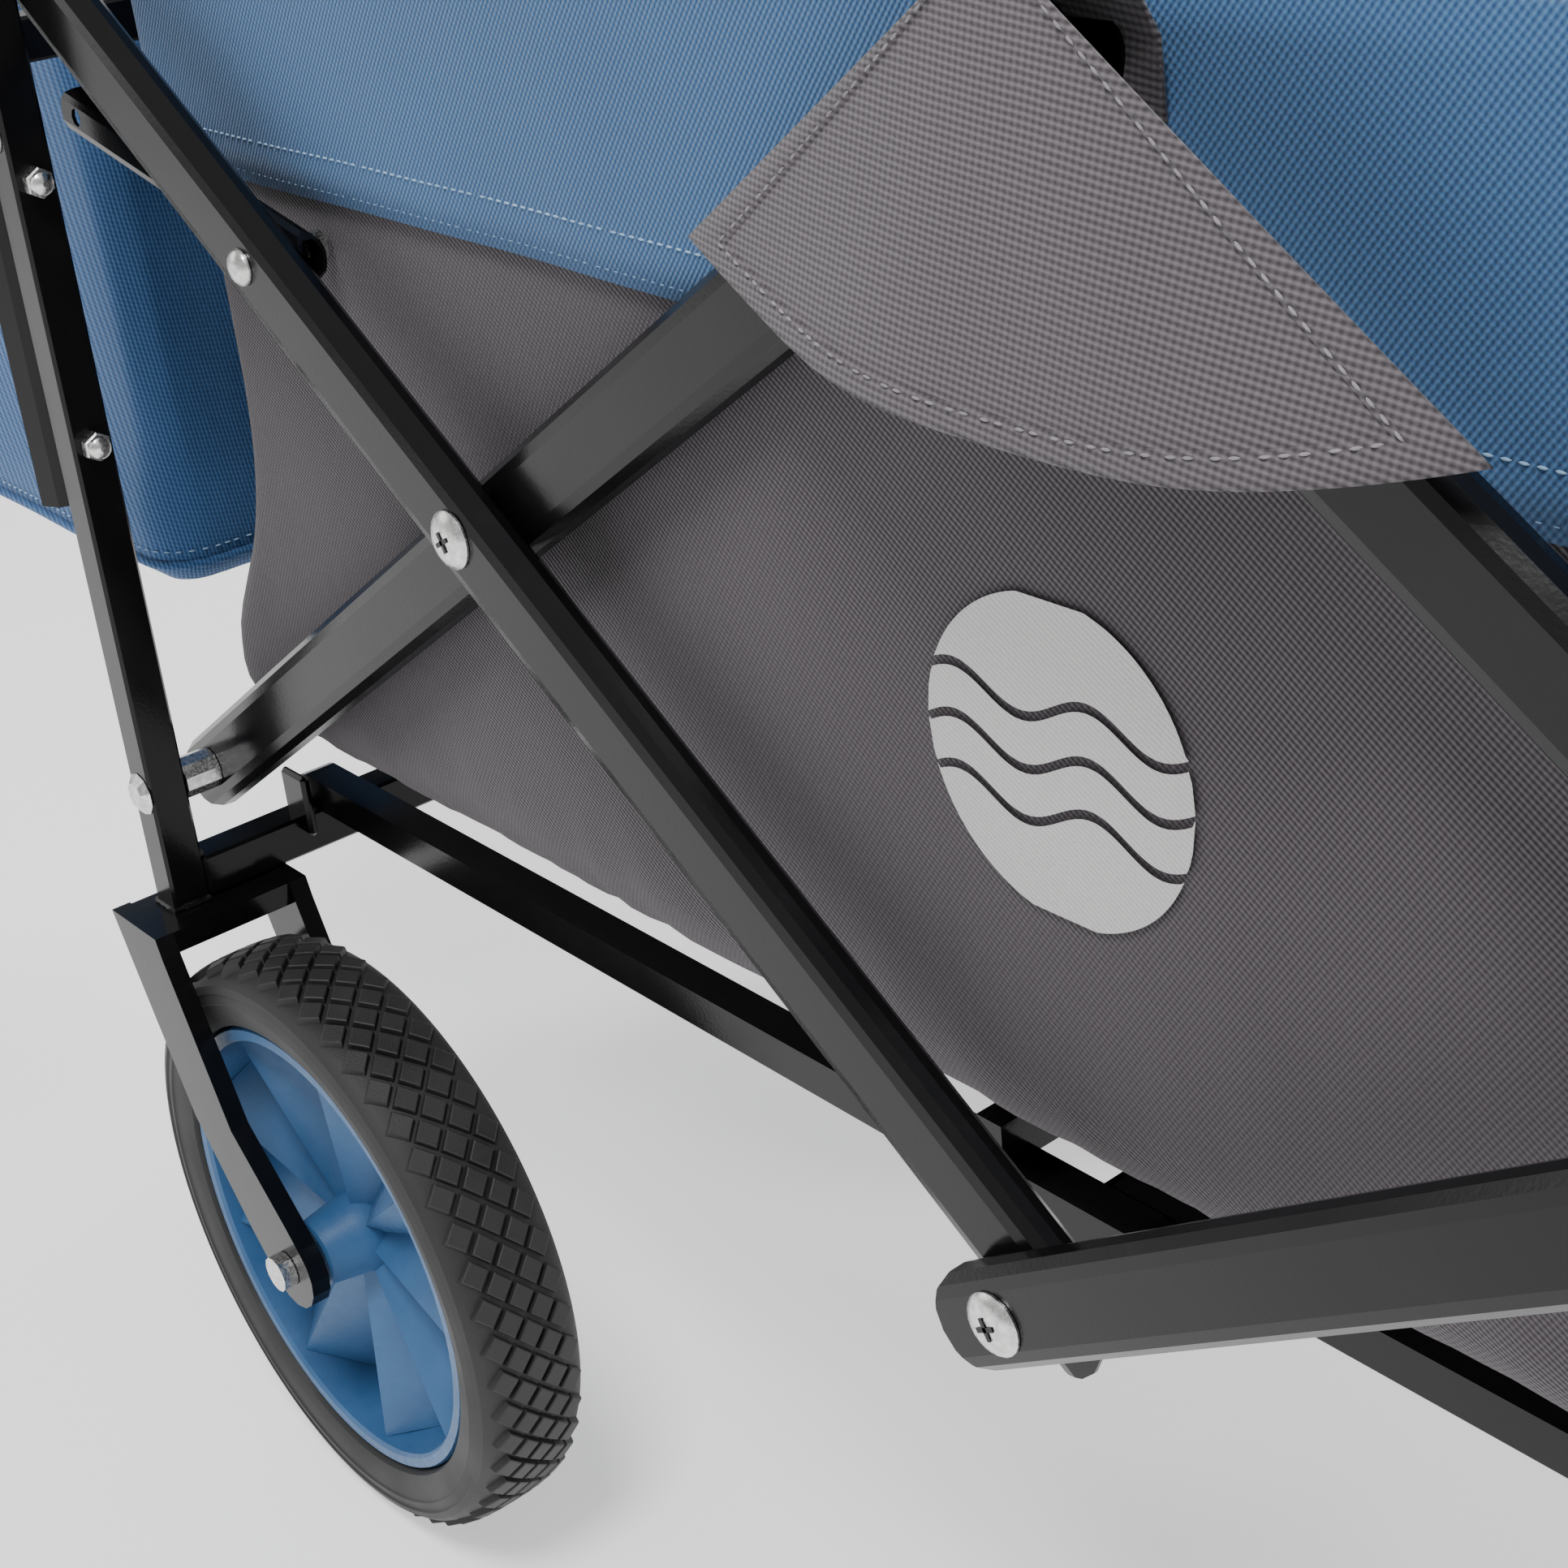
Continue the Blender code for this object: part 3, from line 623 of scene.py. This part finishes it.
def band(columns):
    """The blue band: outside from the seam to the top, over the hem and down inside."""
    rows = []
    steps = 9
    for i in range(steps + 1):
        share = i / steps
        rows.append(wall_row(lambda x: seam_height(x) + (BASKET_TOP + 0.0006 - seam_height(x)) * share,
                             0.0008 if i else 0.0014))
    for drop, offset in ((-0.0016, -0.0012), (0.0, -0.0032), (0.012, -0.0036), (0.045, -0.0036)):
        rows.append(wall_row(lambda x: BASKET_TOP - drop, offset))
    points = [point for row in rows for point in row]
    cover = outward(make("blue_band", points, grid_faces(len(rows), columns, True), BLUE))
    thicken(cover, 0.0009, 1)
    squash_basket(cover)
    for label, height in (("seam_stitch_low", 0.0035), ("seam_stitch_high", 0.0145)):
        row = wall_row(lambda x: seam_height(x) + height, 0.0017)
        normals = [Vector((out_x, out_y, 0)) for x, y, out_x, out_y in plan(BASKET_TOP - 0.07, 0)]
        line = stitches(label, row + row[:1], normals, BLUE_THREAD)
        squash_basket(line)


# ---- flap over the upper bolt ---------------------------------------------------------------
FLAP_COLUMNS, FLAP_ROWS = 48, 40
FLAP_SHIFT, FLAP_TOP_HALF, FLAP_LOW_HALF = 0.0115, 0.014, 0.1225


def flap_point(across, down, side, lift=0.0):
    """across from -1 to 1, down from 0, at the top, to 1, at the round lower edge."""
    top_x, top_z = MIDDLE + FLAP_SHIFT + FLAP_TOP_HALF * across, RISE + 0.0215
    low_x = MIDDLE + 0.0125 + FLAP_LOW_HALF * across
    low_z = RISE - 0.0710 + 0.019 * abs(across) ** 2.2 - 0.003 * across
    x = top_x + (low_x - top_x) * down
    z = top_z + (low_z - top_z) * down - 0.004 * sin(pi * down) * (1 - across ** 2)
    edge = 0.0030 + down * (0.0050 - 0.0060 * across)
    belly = 0.0185 * (1 - across ** 2) * down ** 1.15
    ripple = 0.0014 * sin(2.3 * pi * across + 0.8) * down ** 2
    return at(x, edge - belly + ripple - lift, z, side)


def flap(word, side):
    over = [(0.0400, -0.012), (0.0385, 0.006), (0.030, 0.0195), (0.0175, 0.0228), (0.008, 0.0226)]
    points = []
    for inward, rise in over:
        for c in range(FLAP_COLUMNS + 1):
            across = 2 * c / FLAP_COLUMNS - 1
            points.append(at(MIDDLE + FLAP_SHIFT + FLAP_TOP_HALF * across, inward, RISE + rise, side))
    for r in range(FLAP_ROWS + 1):
        for c in range(FLAP_COLUMNS + 1):
            points.append(flap_point(2 * c / FLAP_COLUMNS - 1, r / FLAP_ROWS, side))
    rows = len(over) + FLAP_ROWS + 1
    cover = outward(make(f"flap_cloth_{word}", points, grid_faces(rows, FLAP_COLUMNS + 1), FLAP_GREY))
    thicken(cover, 0.0010, 0)
    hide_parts(f"flap_{word}")
    pieces = [cover, flap_hem(word, side)]
    rim_path = [flap_point(a, d, side, 0.0012) for a, d in hem_path(0.080, 0.072)]
    out = Vector((0, side, 0))
    pieces.append(stitches(f"flap_stitch_{word}", rim_path, [out] * len(rim_path), GREY_THREAD))
    for piece in pieces:
        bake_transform(piece)


def hem_path(side_inset, low_inset):
    """Down one edge, along the round lower edge and up the other, a little way in."""
    near = 1 - side_inset
    low = 1 - low_inset
    path = [(-near, low * i / 30) for i in range(31)]
    path += [(-near + 2 * near * i / 60, low) for i in range(1, 61)]
    return path + [(near, low * (1 - i / 30)) for i in range(1, 31)]


def flap_hem(word, side):
    """The turned-over edge of the flap, a second layer about 9 mm wide."""
    outer = hem_path(0.0, 0.0)
    inner = hem_path(0.098, 0.088)
    points = []
    for share, lift in ((0.0, 0.0002), (0.06, 0.0010), (0.5, 0.0013), (0.94, 0.0010), (1.0, 0.0002)):
        for (a0, d0), (a1, d1) in zip(outer, inner):
            points.append(flap_point(a0 + (a1 - a0) * share, d0 + (d1 - d0) * share, side, lift))
    return make(f"flap_hem_{word}", points, grid_faces(5, len(outer)), FLAP_GREY)


# ---- bolts, nuts and weld beads -------------------------------------------------------------
M6_HEAD, M6_NUT, M6_ROD = 0.0062, 0.0056, 0.0030


def button_head(name, place, out, material=BOLT, radius=M6_HEAD, high=0.0034):
    """A domed head with a washer rim, standing off its face."""
    dome = [(radius, 0.0), (radius, 0.0007), (radius * 0.93, high * 0.45), (radius * 0.72, high * 0.80),
            (radius * 0.42, high * 0.97), (radius * 0.30, high)]
    return turned(name, dome, place, out, material, 24, angle=35)


def painted_shade_cross(name, place, out, radius):
    """The cross recess of a screw head, as two short black bars of painted shade standing in for the shadow in the
    recess.
    """
    basis = Vector(out).to_track_quat("Z", "X").to_matrix()
    points, faces = [], []
    for turn in (0.5, 0.5 + pi / 2):
        along = basis @ Vector((cos(turn), sin(turn), 0))
        across = basis @ Vector((-sin(turn), cos(turn), 0))
        start = len(points)
        points += [Vector(place) + along * a * radius + across * b * radius * 0.22
                   for a, b in ((-1, -1), (1, -1), (1, 1), (-1, 1))]
        faces.append((start, start + 1, start + 2, start + 3))
    # the black powder coat serves here as painted shade in the recess, not as the screw's own colour
    return thicken(make(name, points, faces, BLACK, smooth=False), 0.0003, 1)


def hex_nut(name, place, out, high=0.0050, radius=M6_NUT, dome=0.0):
    """A hexagon nut with chamfered corners and the rod's end standing out of it, or a closed dome."""
    profile = [(radius * 0.92, 0), (radius, high * 0.12), (radius, high * 0.86), (radius * 0.90, high)]
    pieces = [turned(name + "_hex", profile, place, out, BOLT, 6, angle=20)]
    top = Vector(place) + Vector(out) * high * 0.99
    if dome:
        cap = [(radius * 0.78, 0), (radius * 0.74, dome * 0.45), (radius * 0.50, dome * 0.85),
               (radius * 0.18, dome)]
    else:
        cap = [(M6_ROD, 0), (M6_ROD, 0.0014), (M6_ROD * 0.75, 0.0020)]
    pieces.append(turned(name + "_top", cap, top, out, BOLT, 20, angle=35))
    return join(name, pieces)


def held(piece, body):
    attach(piece, body)


def stay_bolts(word, side):
    """A zinc head and nut at both ends of each stay."""
    out, inside = Vector((0, side, 0)), Vector((0, -side, 0))
    stay_x, stay_z, top_z = 0.1346, 0.2281, 0.2587
    places = (("stay_rear_low", stay_x, 0.0083, 0.0337, stay_z, f"bar_a_{word}"),
              ("stay_front_low", LENGTH - stay_x, -0.0067, 0.0187, stay_z, f"bar_c_{word}"),
              ("stay_rear_top", 0.0, -0.0082, 0.0337, top_z, "rear_frame"),
              ("stay_front_top", LENGTH, -0.0232, 0.0187, top_z, "front_frame"))
    for label, x, head_y, nut_y, z, body in places:
        held(button_head(f"{label}_head_{word}", at(x, head_y, z, side), out), body)
        held(hex_nut(f"{label}_nut_{word}", at(x, nut_y, z, side), inside), body)


def screw_heads(word, side):
    """Round pan heads over the plain heads of the bolts through the bars."""
    out = Vector((0, side, 0))
    for label, node, x, z, face_y, body in (
            ("lower", "lower_bolt", MIDDLE, 0, -0.0067, f"bar_c_{word}"),
            ("cross_rear", "cross_bolt_rear", MIDDLE / 2, RISE / 2, 0.0083, f"bar_a_{word}"),
            ("cross_front", "cross_bolt_front", 1.5 * MIDDLE, RISE / 2, -0.0067, f"bar_d_{word}")):
        low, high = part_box(f"{node}_{word}")
        proud = max(abs(low[1]), abs(high[1])) - (SIDE_Y - face_y)
        radius = (high[2] - low[2]) / 2 + 0.0005
        head = button_head(f"{label}_head_{word}", at(x, face_y, z, side), out, BOLT, radius, proud + 0.0006)
        held(head, body)
        top = at(x, face_y - proud - 0.0007, z, side)
        # painted shade: dark bars where the cross recess holds shadow
        held(painted_shade_cross(f"{label}_recess_{word}", top, out, radius * 0.36), body)


def push_bar_bolts(word, side):
    """Two domed lock nuts on each rear post's front face."""
    for label, z in (("low", 0.1445), ("high", 0.2420)):
        face = at(HALF_POST + 0.0002, 0, z, side)
        held(hex_nut(f"push_bolt_{label}_nut_{word}", face, (1, 0, 0), dome=0.0034), "rear_frame")


def weld(name, points, body, radius=0.0017):
    """A rippled weld bead along a line of points."""
    spine = []
    for a, b in zip(points, points[1:]):
        count = max(2, int((b - a).length / 0.0022))
        spine += [a.lerp(b, i / count) for i in range(count)]
    spine.append(points[-1])
    bead = tube(name, spine, radius, BLACK, 7)
    for index, vertex in enumerate(bead.data.vertices):
        ring = index // 7
        centre = spine[ring]
        vertex.co = centre + (vertex.co - centre) * (1.18 if ring % 2 else 0.86)
    held(bead, body)


def frame_welds(word, side):
    """Beads where the lower crossbar and the fork's crown meet the post."""
    half = HALF_POST
    low = -0.0507
    weld(f"post_foot_weld_{word}", [at(-half, -half, low, side), at(half, -half, low, side),
                                    at(half, half, low, side)], "rear_frame", 0.0015)
    seam = [at(-half + 0.001, half, -0.031, side), at(half - 0.001, half, -0.031, side)]
    weld(f"post_crossbar_weld_{word}", seam, "rear_frame", 0.0015)


# ---- printed badge --------------------------------------------------------------------------
def badge(word, side):
    """A plain round pale print crossed by three waves, on the basket's side."""
    centre_x, centre_z, radius = 0.462, 0.142, 0.046
    wave_gap, wave_high, wave_long, half_line = 0.015, 0.0042, 0.0074, 0.0014
    columns, levels = 96, 14

    def wave(index, x):
        if index in (0, 4):
            return (1 if index else -1) * radius
        return wave_gap * (index - 2) + wave_high * sin(x / wave_long)

    points, faces = [], []
    for strip in range(4):
        start = len(points)
        for column in range(columns + 1):
            x = -radius + 2 * radius * column / columns
            chord = max(0.0, radius ** 2 - x ** 2) ** 0.5
            low = max(-chord, wave(strip, x) + half_line)
            high = max(low, min(chord, wave(strip + 1, x) - half_line))
            for level in range(levels + 1):
                z = low + (high - low) * level / levels
                out = side_bulge(centre_x + x, centre_z + z) + 0.0007
                out += crumple((centre_x + x, side * BASKET_HALF, centre_z + z), 1.0)
                points.append(Vector((REAR_X + centre_x + x, side * (BASKET_HALF + out),
                                      PIVOT_Z + centre_z + z)))
        for column in range(columns):
            one, two = (start + (column + k) * (levels + 1) for k in (0, 1))
            tall = sum((points[end] - points[end + levels]).length for end in (one, two))
            if tall > 0.0004:
                faces += [(one + k, two + k, two + k + 1, one + k + 1) for k in range(levels)]
    print_layer = make(f"badge_{word}", points, faces, INK)
    squash_basket(print_layer)


# ---- rear bag -------------------------------------------------------------------------------
def rear_bag():
    """A sewn bag hung behind the posts: four walls that sag, a rounded bottom and a bound open top."""
    low, high = (Vector(corner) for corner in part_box("rear_bag"))
    middle = (low + high) / 2
    half_x, half_y = (high.x - low.x) / 2 - 0.002, (high.y - low.y) / 2 - 0.002
    radius, around_steps, heights = 0.022, 26, 26
    ring = []
    for corner, (sx, sy) in enumerate(((1, -1), (1, 1), (-1, 1), (-1, -1))):
        for step in range(7):
            angle = radians(-90 + 90 * corner + 15 * step)
            ring.append((sx * (half_x - radius) + radius * cos(angle),
                         sy * (half_y - radius) + radius * sin(angle), cos(angle), sin(angle)))
        nsx, nsy = ((1, 1), (-1, 1), (-1, -1), (1, -1))[corner]
        angle = radians(90 * corner)
        ahead = (nsx * (half_x - radius) + radius * cos(angle),
                 nsy * (half_y - radius) + radius * sin(angle))
        start = ring[-1]
        for step in range(1, around_steps):
            share = step / around_steps
            ring.append((start[0] + (ahead[0] - start[0]) * share, start[1] + (ahead[1] - start[1]) * share,
                         cos(angle), sin(angle)))
    rows = []
    tall = high.z - low.z

    def wall(share, inset, offset=0.0):
        z = low.z + 0.002 + (tall - 0.004) * share
        row = []
        for x, y, out_x, out_y in ring:
            belly = -0.006 * sin(pi * share) * (abs(out_x) + abs(out_y))
            belly += 0.0055 * exp(-((share - 0.12) / 0.10) ** 2)
            crease = 0.0022 * noise.noise(Vector((x * 14, y * 9 + z * 6, z * 8))) * (1 - 0.7 * share)
            out = belly + crease + offset - inset - 0.004
            row.append(Vector((middle.x + x + out_x * out, middle.y + y + out_y * out, z)))
        return row

    for i in range(heights + 1):
        rows.append(wall(1 - 0.93 * i / heights, 0.0))
    for share, inset in ((0.045, 0.002), (0.020, 0.007), (0.006, 0.016),
                         (0.0, 0.030), (0.0, 0.060), (0.0, 0.085)):
        rows.append(wall(share, inset))
    points = [point for row in rows for point in row]
    faces = grid_faces(len(rows), len(ring), True)
    faces.append(tuple(range((len(rows) - 1) * len(ring), len(rows) * len(ring))))
    # the bag's cloth, binding and piping use the darker blue weave, which is painted shade
    cloth_body = outward(make("bag_cloth", points, faces, SHADED_BAG_BLUE))
    thicken(cloth_body, 0.0014)
    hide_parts("rear_bag")
    held(cloth_body, "rear_frame")
    for label, share, size in (("bag_top_binding", 0.992, 0.0026), ("bag_bottom_piping", 0.060, 0.0019)):
        edge = tube(label, wall(share, 0.0, 0.0006), size, SHADED_BAG_BLUE, 8, closed=True)
        held(edge, "rear_frame")
    for label, share in (("bag_stitch_top", 0.955), ("bag_stitch_low", 0.085)):
        row = wall(share, 0.0, 0.0004)
        held(stitches(label, row + row[:1], [Vector((a, b, 0)) for x, y, a, b in ring], BLUE_THREAD),
             "rear_frame")


# ---- camera, light and floor ----------------------------------------------------------------
def camera():
    lens = bpy.data.cameras.new("camera")
    lens.sensor_width = 36.0
    lens.lens = 57.67
    item = bpy.data.objects.new("camera", lens)
    bpy.context.scene.collection.objects.link(item)
    right = Vector((0.64785, 0.75690, -0.08594)).normalized()
    forward = Vector((-0.70417, 0.55201, -0.44658)).normalized()
    up = right.cross(forward).normalized()
    basis = Matrix((right, up, -forward)).transposed().to_4x4()
    item.matrix_world = Matrix.Translation(at(0.86336, -0.36292, 0.42541)) @ basis
    bpy.context.scene.camera = item


def light(name, place, target, size, power, colour=(1, 1, 1)):
    lamp = bpy.data.lights.new(name, "AREA")
    lamp.shape = "DISK"
    lamp.size = size
    lamp.energy = power
    lamp.color = colour
    item = bpy.data.objects.new(name, lamp)
    bpy.context.scene.collection.objects.link(item)
    item.location = place
    item.rotation_euler = (Vector(target) - Vector(place)).to_track_quat("-Z", "Y").to_euler()


def studio():
    world = bpy.data.worlds.new("studio")
    bpy.context.scene.world = world
    world.use_nodes = True
    world.node_tree.nodes["Background"].inputs["Color"].default_value = (1, 1, 1, 1)
    world.node_tree.nodes["Background"].inputs["Strength"].default_value = 0.62
    light("key", (0.7, -1.3, 3.0), (0, -0.2, 0.3), 0.9, 75)
    light("fill", (-2.4, -1.6, 1.5), (0, 0, 0.3), 1.8, 12)
    light("back", (0.9, 2.4, 2.6), (0, 0, 0.4), 0.7, 45)
    ground = Maker("pale_floor", (0.93, 0.93, 0.93), 0.7)
    ground.shader.inputs["Emission Color"].default_value = (1, 1, 1, 1)
    ground.shader.inputs["Emission Strength"].default_value = 0.62
    ground.bump(ground.noise(60, 2), 0.0002, 0.1)
    size = 14
    floor = make("floor", [(-size, -size, 0), (size, -size, 0), (size, size, 0), (-size, size, 0)],
                 [(0, 1, 2, 3)], ground.material, smooth=False)


# ---- build ----------------------------------------------------------------------------------
camera()
studio()
repaint()
for side_word in SIDES:
    wheel("rear", side_word)
    wheel("front", side_word)
basket()
rear_bag()
for side_word, side_sign in SIDES.items():
    flap(side_word, side_sign)
    stay_bolts(side_word, side_sign)
    push_bar_bolts(side_word, side_sign)
    screw_heads(side_word, side_sign)
    frame_welds(side_word, side_sign)
    badge(side_word, side_sign)
